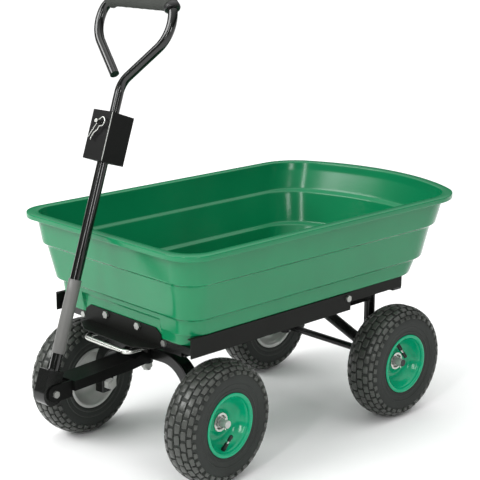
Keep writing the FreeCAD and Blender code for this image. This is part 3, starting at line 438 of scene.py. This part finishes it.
# A corner's radius shrinks by this share of the draw-in.
CORNER_SHRINK = 0.35
# Points along a side, round a rear corner, along the bow, round a front corner and along the front, which has
# the most because the pocket is stepped into it.
SIDE_STEPS, REAR_CORNER_STEPS, BOW_STEPS, FRONT_CORNER_STEPS, FRONT_STEPS = 24, 18, 40, 14, 130
WALL = 4.0
# Height, then the draw-in from the rim at the sides, the front and the rear: from under the pan up the
# outside, over the rim, and down the inside to the floor.
TUB_LEVELS = [
    (305, 80, 73, 131), (305, 73, 66, 124), (327.9, 71, 62, 116), (328.2, 61, 61, 104), (360, 58, 58, 86),
    (366, 47.8, 46.8, 71), (438, 33, 33, 55), (443.5, 25.5, 25.5, 41), (492, 19, 19, 24),
    (505.8, 17.2, 17.2, 20.2), (506, 3.2, 3.2, 3.2), (498.6, 3.0, 3.0, 3.0), (498.6, 0, 0, 0),
    (510, 0, 0, 0), (510, 21, 21, 24), (492, 23, 23, 28), (445, 29.3, 29.3, 44.6), (440.5, 36.5, 36.5, 58),
    (367, 51.6, 50.6, 74.8), (362.5, 61.7, 61.7, 89), (328.2, 65, 65, 108), (327.9, 75, 66, 120),
    (308.7, 77, 70, 128), (308.7, 86, 79, 137)]
LEDGE_RADIUS, LEVEL_STEP, TUB_CREASE = 2.8, 3.5, 40
# The pocket in the front wall and the boss inside it: half width, top and the Y of its face. Nothing behind
# RECESS_LIMIT is touched.
POCKET_HALF, POCKET_TOP, POCKET_FACE = 124.0, 346.0, -339.4
BOSS_HALF, BOSS_TOP, BOSS_FACE = 66.0, 328.0, -327.0
RECESS_LIMIT = -330
# The pocket's step is this wide and starts this far outside its edge; the boss's sides and top slope this much.
POCKET_STEP, POCKET_MARGIN = 3, 2.5
BOSS_SIDE_STEP, BOSS_TOP_STEP = 3, 2


def tub_ring(level, side, front, rear):
    """Plan outline of the tub at one level, drawn in from the rim's outer edge."""
    corner = CORNER_SHRINK * side
    half = HALF - side
    bow = BOW * (half / HALF) ** 2
    back = REAR + BOW - rear - bow
    nose = -FRONT + front
    front_r, rear_r = FRONT_R - corner, REAR_R - corner
    big = (half ** 2 + bow ** 2) / (2 * bow)
    centre = back + bow - big
    turn_x = half - rear_r
    turn_y = centre + math.sqrt((big - rear_r) ** 2 - turn_x ** 2)
    start = math.atan2(turn_y - centre, turn_x)
    points = []

    def line(a, b, count):
        for step in range(count):
            t = step / count
            points.append((a[0] + (b[0] - a[0]) * t, a[1] + (b[1] - a[1]) * t, level))

    def arc(x, y, radius, begin, end, count):
        for step in range(count):
            angle = begin + (end - begin) * step / count
            points.append((x + radius * math.cos(angle), y + radius * math.sin(angle), level))

    line((half, nose + front_r), (half, turn_y), SIDE_STEPS)
    arc(turn_x, turn_y, rear_r, 0, start, REAR_CORNER_STEPS)
    arc(0, centre, big, start, math.pi - start, BOW_STEPS)
    arc(-turn_x, turn_y, rear_r, math.pi - start, math.pi, REAR_CORNER_STEPS)
    line((-half, turn_y), (-half, nose + front_r), SIDE_STEPS)
    arc(-half + front_r, nose + front_r, front_r, math.pi, 1.5 * math.pi, FRONT_CORNER_STEPS)
    line((-half + front_r, nose), (half - front_r, nose), FRONT_STEPS)
    arc(half - front_r, nose + front_r, front_r, 1.5 * math.pi, TAU, FRONT_CORNER_STEPS)
    return points


def share(value):
    """The value, held between 0 and 1."""
    return min(1.0, max(0.0, value))


def recess(point, inner):
    """Step the front wall back at the pocket, and bring its boss forward on the inside."""
    x, y, z = point
    if y > RECESS_LIMIT:
        return point
    inside = (share((POCKET_HALF + POCKET_MARGIN - abs(x)) / POCKET_STEP)
              * share((POCKET_TOP + POCKET_MARGIN - z) / POCKET_STEP))
    face = max(y, POCKET_FACE + (WALL if inner else 0.0))
    y += (face - y) * inside
    if inner:
        boss = (share((BOSS_HALF - abs(x)) / BOSS_SIDE_STEP + 1)
                * share((BOSS_TOP - z) / BOSS_TOP_STEP + 1))
        y += (BOSS_FACE - y) * boss
    return (x, y, z)


def make_tub():
    """The moulded tub: one skin through all its levels, closed by a face under the pan and by its floor."""
    profile = smooth_profile(TUB_LEVELS, LEDGE_RADIUS)
    dense = [profile[0]]
    for after in profile[1:]:
        before = dense[-1]
        count = max(1, int(abs(after[0] - before[0]) / LEVEL_STEP))
        for step in range(1, count + 1):
            dense.append(before.lerp(after, step / count))
    crest = max(range(len(dense)), key=lambda row: dense[row][0])
    points = []
    for row, level in enumerate(dense):
        points += [recess(p, row > crest) for p in tub_ring(*level)]
    count = len(points) // len(dense)
    faces = rings_to_faces(len(dense), count) + end_caps(len(dense), count)
    piece = mesh_piece("tub_shell", points, faces, "green_plastic", "tub_bed", CART_FRAME, ("tub",))
    sharpen(piece, TUB_CREASE)


# ---------------------------------------------------------------- wheels
TYRE_R, TYRE_HALF, OPENING = 130.0, 41.5, 66.0
# The casing's section is a squarish oval; its sides stand in from the tyre's full half width.
SECTION_POWER, CASING_INSET = 2.0 / 2.45, 2.4
SECTION_ROWS, SIDE_WALL_ROW, LAST_ANGLE = 22, 18, 1.9
TYRE_SEGMENTS = 104
# The bead, from the end of the section to the middle of the opening, as (x, radius).
BEAD = [(37.0, 80.0), (36.7, 76.0), (36.3, 72.5), (35.9, 70.4), (35.0, 68.9), (33.8, 66.4), (33.0, 62.5),
        (24.0, 62.5), (0.0, 63.0)]
# Moulded ribs on each side wall: radius and height. A rib's foot and its crest reach this far either side of
# its radius, and its root lies this deep in the casing.
RIBS = ((75.0, 0.7), (86.5, 0.6))
RIB_FOOT, RIB_CREST, RIB_ROOT = 1.8, 0.8, -2.0
TREAD = 3.6
PITCHES = 34
# Columns of blocks on one side of the crown: section angle, half width, half length and offset in pitches.
COLUMNS = [(0.165, 0.135, 0.40, 0.00), (0.52, 0.145, 0.37, 0.46), (0.88, 0.145, 0.39, 0.05),
           (1.21, 0.120, 0.27, 0.52)]
# A block's usual height, how uneven its height and outline are, how far it strays along the tread in pitches,
# and where the cut-off corners of its outline start.
BLOCK_TALL, TALL_UNEVEN, OUTLINE_UNEVEN, STRAY, CHAMFER = TREAD - 0.15, 0.03, 0.12, 0.04, 0.8
# A block widens into a foot sunk in the casing, and narrows over its shoulder and its top edge. Each pair is
# the height, which the last three count down from the block's top, and the share of its outline.
BLOCK_FOOT, BLOCK_LEVELS = (-1.5, 1.04), ((0.9, 1.0), (0.2, 0.93), (0.0, 0.80))
TYRE_CREASE, BLOCK_CREASE = 32, 50

# Pressed rim half, turned: from the hub out along the bowl to the flange, and back along its inner face.
RIM_HALF = [(0.15, 15.6), (7.6, 15.6), (7.6, 21.0), (5.0, 24.5), (3.6, 29.0), (4.2, 35.0), (6.4, 41.0),
            (10.4, 46.5), (16.0, 50.8), (22.4, 54.0), (28.0, 56.4), (30.4, 58.4), (34.6, 59.2),
            (36.8, 61.4), (37.2, 64.4), (36.4, 67.6), (34.6, 67.6), (34.0, 63.0), (28.8, 61.6),
            (26.4, 59.0), (20.6, 56.8), (13.8, 53.4), (8.0, 49.0), (4.0, 43.4), (2.0, 37.4), (0.15, 36.0)]
RIM_RADIUS = 2.6
HUB = [(-32, 8.1), (-32, 14.6), (-31, 15), (8.4, 15.3), (8.4, 19.4), (8.9, 20.0), (9.8, 19.6),
       (9.8, 15.4), (8.6, 14.7), (1.0, 14.7), (1.0, 8.1)]
AIR_TUBE = [(0.0, 66.0), (22.0, 66.0), (31.0, 78.0), (33.5, 97.0), (28.0, 111.0), (14.0, 117.0)]
VALVE_FOOT, VALVE_TIP = Vector((17.8, 0, 64.0)), Vector((37.8, 0, 27.0))
# The valve's rubber stem, its cap and the bare neck between them: where each point lies from foot to tip, and
# the radii there.
STEM_PARTS, STEM_RADII = (0.0, 0.40, 0.72, 0.73, 0.94), [5.4, 4.8, 4.3, 2.6, 2.6]
CAP_PARTS, CAP_RADII = (0.88, 0.90, 1.16, 1.20), [3.7, 4.1, 4.1, 3.2]
NECK_PARTS, NECK_RADIUS = (0.72, 0.90), 3.0
AXLE_SLEEVE = [(2.0, 8.04), (2.0, 10.6), (10.0, 10.6), (10.0, 8.6), (27.0, 8.6), (28.6, 7.8), (28.9, 6.0),
               (28.5, 4.4), (28.05, 4.2), (28.05, 8.04)]
# A dark disc over the sleeve's centre hole, painted shade of the bore: its two ends along the axle and its
# radius.
AXLE_SHADE_DISC, AXLE_SHADE_RADIUS = (Vector((28.1, 0, 0)), Vector((28.4, 0, 0))), 4.3

# Each axle's word, its body, its frame, half its track and how far its line lies from that frame's origin.
AXLES = (("front_", "steering", STEER_FRAME, 201.5, 0.0),
         ("rear_", "chassis", CART_FRAME, 211.0, HALF_WHEELBASE))
# How far each wheel stands turned at rest, in degrees; its valve points up at 0.
VALVE_TURNS = {"front_left": 46, "front_right": 170, "rear_left": 126, "rear_right": 20}


def tyre_point(across, around, height=0.0):
    """A point on the casing: across is the section angle from the crown, in radians."""
    middle, tall = (TYRE_R + OPENING) / 2, (TYRE_R - OPENING) / 2 - TREAD / 2
    c, s = math.cos(across), math.sin(across)
    x = math.copysign(abs(s) ** SECTION_POWER, s) * (TYRE_HALF - CASING_INSET)
    r = math.copysign(abs(c) ** SECTION_POWER, c) * tall
    length = math.hypot(x / TYRE_HALF, r / tall) or 1.0
    nx, nr = x / TYRE_HALF / length, r / tall / length
    radius = middle - TREAD / 2 + r + nr * height
    x += nx * height
    return (x, radius * math.cos(around), radius * math.sin(around))


def half_section():
    """The casing's outline from the crown down the +X side to the middle of its opening."""
    angles = [LAST_ANGLE * row / SECTION_ROWS for row in range(SECTION_ROWS + 1)]
    return [tyre_point(angle, 0.0)[:2] for angle in angles] + BEAD


def side_wall(radius):
    """The casing's half width at a radius on its side wall."""
    outline = half_section()[SIDE_WALL_ROW:]
    for (x0, r0), (x1, r1) in zip(outline, outline[1:]):
        if r1 <= radius <= r0:
            return x0 + (x1 - x0) * (r0 - radius) / (r0 - r1)
    return outline[0][0]


def uneven(value, part):
    """The value, made larger or smaller at random by up to this part of it."""
    return value * (1 + random.uniform(-part, part))


def block_outline(wide, long):
    """A worn, slightly uneven block seen from above, with its corners taken off."""
    corners = [(-1, -CHAMFER), (-CHAMFER, -1), (CHAMFER, -1), (1, -CHAMFER), (1, CHAMFER), (CHAMFER, 1),
               (-CHAMFER, 1), (-1, CHAMFER)]
    return [(uneven(wide * a, OUTLINE_UNEVEN), uneven(long * t, OUTLINE_UNEVEN)) for a, t in corners]


def tread_blocks():
    """Every tread block of one tyre: a foot, a shoulder and a slightly smaller top."""
    points, faces = [], []
    pitch = TAU / PITCHES
    for number in range(PITCHES):
        for across, wide, long, offset in COLUMNS:
            for side, skip in ((1, 0.0), (-1, 0.5)):
                shape = block_outline(wide, long)
                tall = uneven(BLOCK_TALL, TALL_UNEVEN)
                along = number + offset + skip + random.uniform(-STRAY, STRAY)
                levels = [BLOCK_FOOT] + [(tall - drop, scale) for drop, scale in BLOCK_LEVELS]
                first, count = len(points), len(shape)
                for height, scale in levels:
                    points += [tyre_point(side * across + a * scale, (along + t * scale) * pitch, height)
                               for a, t in shape]
                top = first + (len(levels) - 1) * count
                faces += rings_to_faces(len(levels), count, first)
                faces.append(tuple(range(top, top + count)))
                faces.append(tuple(reversed(range(first, first + count))))
    return points, faces


def make_tyre(word, body, where):
    """Casing with smooth side walls that close on the rim, and the block tread on its crown."""
    half = half_section()
    profile = [(-x, r) for x, r in reversed(half)] + half[1:-1]
    points = ring_points(profile, TYRE_SEGMENTS)
    faces = closed_rings(len(profile), TYRE_SEGMENTS)
    for side in (LEFT, RIGHT):
        for radius, tall in RIBS:
            outline = ((-RIB_FOOT, 0.0), (-RIB_CREST, tall), (RIB_CREST, tall), (RIB_FOOT, 0.0),
                       (0.0, RIB_ROOT))
            rib = [(side * (side_wall(radius + offset) + lift), radius + offset) for offset, lift in outline]
            faces += closed_rings(len(rib), TYRE_SEGMENTS, len(points))
            points += ring_points(rib, TYRE_SEGMENTS)
    piece = mesh_piece("casing_tyre_" + word, points, faces, "tyre", body, where, ("tyre_" + word,))
    sharpen(piece, TYRE_CREASE)
    points, faces = tread_blocks()
    piece = mesh_piece("tread_blocks_" + word, points, faces, "tyre", body, where, finish="tread_rubber")
    sharpen(piece, BLOCK_CREASE)


def make_rims(word, body, where):
    """Two pressed rim halves, each a smooth bowl with a rolled flange."""
    shape = [tuple(p) for p in smooth_profile(RIM_HALF, RIM_RADIUS)]
    lathe("dished_rim_outer_" + word, shape, "green_paint", body, where, ("rim_outer_" + word,))
    mirrored = [(-x, r) for x, r in reversed(shape)]
    lathe("dished_rim_inner_" + word, mirrored, "zinc", body, where, ("rim_inner_" + word,),
          finish="pale_zinc")


def make_valve(word, body, where):
    """The inner tube, hidden in the tyre, and the valve that comes through the bowl."""
    outline = AIR_TUBE + [(-x, r) for x, r in reversed(AIR_TUBE[1:])]
    lathe("air_tube_" + word, outline, "tube_rubber", body, where, ("inner_tube_" + word,), segments=48)
    for part, parts, radius, slot, sides in (("stem_", STEM_PARTS, STEM_RADII, "tube_rubber", 20),
                                             ("cap_", CAP_PARTS, CAP_RADII, "tube_rubber", 12),
                                             ("neck_", NECK_PARTS, NECK_RADIUS, "zinc", 16)):
        route = [VALVE_FOOT.lerp(VALVE_TIP, t) for t in parts]
        tube("valve_" + part + word, route, radius, slot, body, where, sides=sides)


def make_axle_end(word, body, where):
    """The bright sleeve and ring that close the axle outside the bearing, with a dark disc of painted shade
    over the centre hole.
    """
    lathe("axle_sleeve_" + word, AXLE_SLEEVE, "zinc", body, where, segments=40, finish="pale_zinc")
    tube("axle_shade_disc_" + word, AXLE_SHADE_DISC, AXLE_SHADE_RADIUS, "tube_rubber", body, where, sides=20)


def make_wheels():
    """Four wheels, each in a frame on its axle's line with +X pointing out of the cart."""
    for side, hand in ((LEFT, "left"), (RIGHT, "right")):
        for end, axle_body, base, half_track, along in AXLES:
            word = end + hand
            body = "wheel_" + word
            turn = Matrix.Rotation(0 if side > 0 else math.pi, 4, "Z")
            hub = Matrix.Translation((side * half_track * MM, along * MM, AXLE_HEIGHT * MM))
            where = base @ hub @ turn
            turned = where @ Matrix.Rotation(math.radians(VALVE_TURNS[word]), 4, "X")
            make_tyre(word, body, where)
            make_rims(word, body, turned)
            lathe("bearing_hub_" + word, HUB, "zinc", body, turned, ("wheel_hub_" + word,), segments=64)
            make_valve(word, body, turned)
            make_axle_end(word, axle_body, where)


# ---------------------------------------------------------------- handle
# The grab loop's route in the handle's frame, its bend radii, and the steps in each bend.
GRIP_HALF, GRIP_Z = 97.0, 787.0
LOOP = [(0, 0, 512), (0, 0, 622), (GRIP_HALF + 8, 0, 724), (GRIP_HALF - 6, 0, GRIP_Z),
        (-GRIP_HALF + 3, 0, GRIP_Z + 2), (-GRIP_HALF - 10, 0, 722), (-24, 0, 637)]
LOOP_RADII = [48, 70, 26, 38, 64]
BEND = 16
# The bends of the loop at the two ends of its grip, counted along its points.
GRIP_START = 1 + 2 * (BEND + 1)
GRIP_END = GRIP_START + BEND + 1
GRIP_FILL = 22
LOOP_TUBE, STEM_TUBE, SHADE_PLUG_RADIUS = 9.6, 11.0, 7.4
# The loop's capped open end gets a near-black plug, painted shade of its hollow, from inside the tube to just
# past its end, as distances from that end.
SHADE_PLUG_FROM, SHADE_PLUG_TO = -14.0, 0.12
# The foam's radius, the depth and pace of its ripple, and its radius at both ends.
FOAM_RADIUS, RIPPLE, RIPPLE_PACE, FOAM_END = 15.9, 0.25, 1.7, 14.2
COLLAR_START, COLLAR_RADIUS, COLLAR_END = 15.0, 16.3, 15.4
STEM_HEIGHTS = (30, 78, 226, 462, 512)
SLEEVE_HEIGHTS = (78, 78.8, 100, 200, 225.2, 226)
SLEEVE_RADII = [12.2, 13, 13, 13, 13, 12.2]
# The painted highlight on the handle box's near edge: its corner, the strip's heights and its radii.
BOX_CORNER = (26.5, -29.5)
HIGHLIGHT_HEIGHTS = (462.6, 464, 480, 510, 540, 558, 559.4)
HIGHLIGHT_RADII = [0.7, 0.9, 1.0, 0.9, 1.0, 0.9, 0.7]


def make_handle():
    """Grab loop with its foam grip and collar, stem and grey sleeve."""
    path = rounded_route(LOOP, LOOP_RADII, BEND)
    tube("grab_loop", path, LOOP_TUBE, "black_paint", "handle", HANDLE_FRAME, ("handle_loop",), sides=36,
         finish="tube_paint")
    # A near-black plug at the loop's open end: painted shade inside the hollow tube.
    bore = [path[-1] + (path[-1] - path[-2]).normalized() * reach for reach in (SHADE_PLUG_FROM, SHADE_PLUG_TO)]
    tube("loop_bore", bore, SHADE_PLUG_RADIUS, "tube_rubber", "handle", HANDLE_FRAME)
    cover = (path[GRIP_START + BEND // 2:GRIP_END] + spread(path[GRIP_END - 1], path[GRIP_END], GRIP_FILL)
             + path[GRIP_END:GRIP_END + BEND // 2 + 1])
    radii = [FOAM_RADIUS + RIPPLE * math.sin(index * RIPPLE_PACE) for index in range(len(cover))]
    radii[0], radii[-1] = FOAM_END, FOAM_END
    tube("foam_grip", cover, radii, "grip_foam", "handle", HANDLE_FRAME, ("handle_grip",), sides=36)
    collar = path[GRIP_START + BEND // 4:GRIP_START + BEND // 2 + 1]
    radii = [COLLAR_START] + [COLLAR_RADIUS] * (len(collar) - 2) + [COLLAR_END]
    tube("grip_collar", collar, radii, "tube_rubber", "handle", HANDLE_FRAME, ("grip_ring",), sides=36)
    stem = [Vector((0, 0, z)) for z in STEM_HEIGHTS]
    tube("long_stem", stem, STEM_TUBE, "black_paint", "handle", HANDLE_FRAME, ("handle_stem",), sides=36,
         finish="tube_paint")
    sleeve = [Vector((0, 0, z)) for z in SLEEVE_HEIGHTS]
    tube("grey_sleeve", sleeve, SLEEVE_RADII, "sleeve_grey", "handle", HANDLE_FRAME, ("stem_sleeve",),
         sides=36)


def make_box_edge_highlight():
    """A thin pale strip on the handle box's near corner: a painted highlight where the edge catches the light.
    """
    edge_line = [Vector((*BOX_CORNER, z)) for z in HIGHLIGHT_HEIGHTS]
    tube("box_edge_highlight", edge_line, HIGHLIGHT_RADII, "black_paint", "handle", HANDLE_FRAME, sides=10,
         finish="dull_zinc")


# The clip's straight leg starts here and rises this much for each millimetre across.
CLIP_START, CLIP_RISE, CLIP_RADIUS = Vector((0, -37, 537)), 1.9, 1.35
# Its corners, along the leg and beside it, and its bend radii.
CLIP = [(-38, 0), (4, 0), (15, 5), (12, 15), (0, 17), (-5, 9.5), (-13, 11), (-22, 6.9), (-31, 6.9), (-38, 9)]
CLIP_BENDS = [7, 5, 5, 6, 4, 6, 6, 6]
CLIP_BEND_STEPS = 7


def make_clip():
    """The spring clip of round wire."""
    along = Vector((1, 0, CLIP_RISE)).normalized()
    aside = Vector((CLIP_RISE, 0, -1)).normalized()
    corners = [CLIP_START + along * run + aside * off for run, off in CLIP]
    route = rounded_route(corners, CLIP_BENDS, CLIP_BEND_STEPS)
    tube("wire_clip", route, CLIP_RADIUS, "zinc", "clip", HANDLE_FRAME, ("r_clip",), sides=14)


# ---------------------------------------------------------------- latch
# The bail: half its width, its height, and the Y of its grip, of the ends of the grip and of the legs' tips.
BAIL_HALF, BAIL_Z, BAIL_GRIP, BAIL_NECK, BAIL_TIP = 69.0, 273.0, -388.0, -353.0, -304.6
GRIP_WIRE, LEG_WIRE = 5.4, 4.0
# The grip's bend radii and the steps in each bend. Its wire meets a leg's over this short taper.
GRIP_BENDS, GRIP_BEND_STEPS, TAPER = [16, 16], 12, 0.5
# The springs round its legs: the Y of both ends, coil radius, wire radius, turns and points in a turn.
SPRING_NEAR, SPRING_FAR = -337.6, -312.8
COIL_RADIUS, COIL_WIRE, COIL_TURNS, COIL_POINTS, COIL_INSET = 5.7, 0.75, 6, 14, 0.8


def make_latch():
    """The latch's wire bail, with a thicker grip than legs, and the springs on its legs."""
    route = [(-BAIL_HALF, BAIL_NECK, BAIL_Z), (-BAIL_HALF, BAIL_GRIP, BAIL_Z),
             (BAIL_HALF, BAIL_GRIP, BAIL_Z), (BAIL_HALF, BAIL_NECK, BAIL_Z)]
    grip = rounded_route(route, GRIP_BENDS, GRIP_BEND_STEPS)
    left, right = ([Vector((side * BAIL_HALF, y, BAIL_Z)) for y in (BAIL_TIP, BAIL_NECK + TAPER)]
                   for side in (LEFT, RIGHT))
    path = left + grip + right[::-1]
    radii = [LEG_WIRE] * 2 + [GRIP_WIRE] * len(grip) + [LEG_WIRE] * 2
    tube("pull_bail", path, radii, "zinc", "latch", CART_FRAME, ("latch_bail",), sides=24)
    steps = COIL_TURNS * COIL_POINTS
    for side, word in ((LEFT, "left"), (RIGHT, "right")):
        coil = []
        for step in range(steps + 1):
            angle = TAU * step / COIL_POINTS
            coil.append(Vector((side * BAIL_HALF + COIL_RADIUS * math.cos(angle),
                                SPRING_NEAR + COIL_INSET
                                + (SPRING_FAR - SPRING_NEAR - 2 * COIL_INSET) * step / steps,
                                BAIL_Z + COIL_RADIUS * math.sin(angle))))
        spring = tube("coil_spring_" + word, coil, COIL_WIRE, "zinc", "tub_bed", CART_FRAME,
                      ("latch_springs",), sides=10)
        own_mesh(spring)


def main():
    random.seed(7)
    make_camera()
    make_studio()
    dress_frame()
    make_tub()
    make_wheels()
    make_handle()
    make_box_edge_highlight()
    make_clip()
    make_latch()


main()
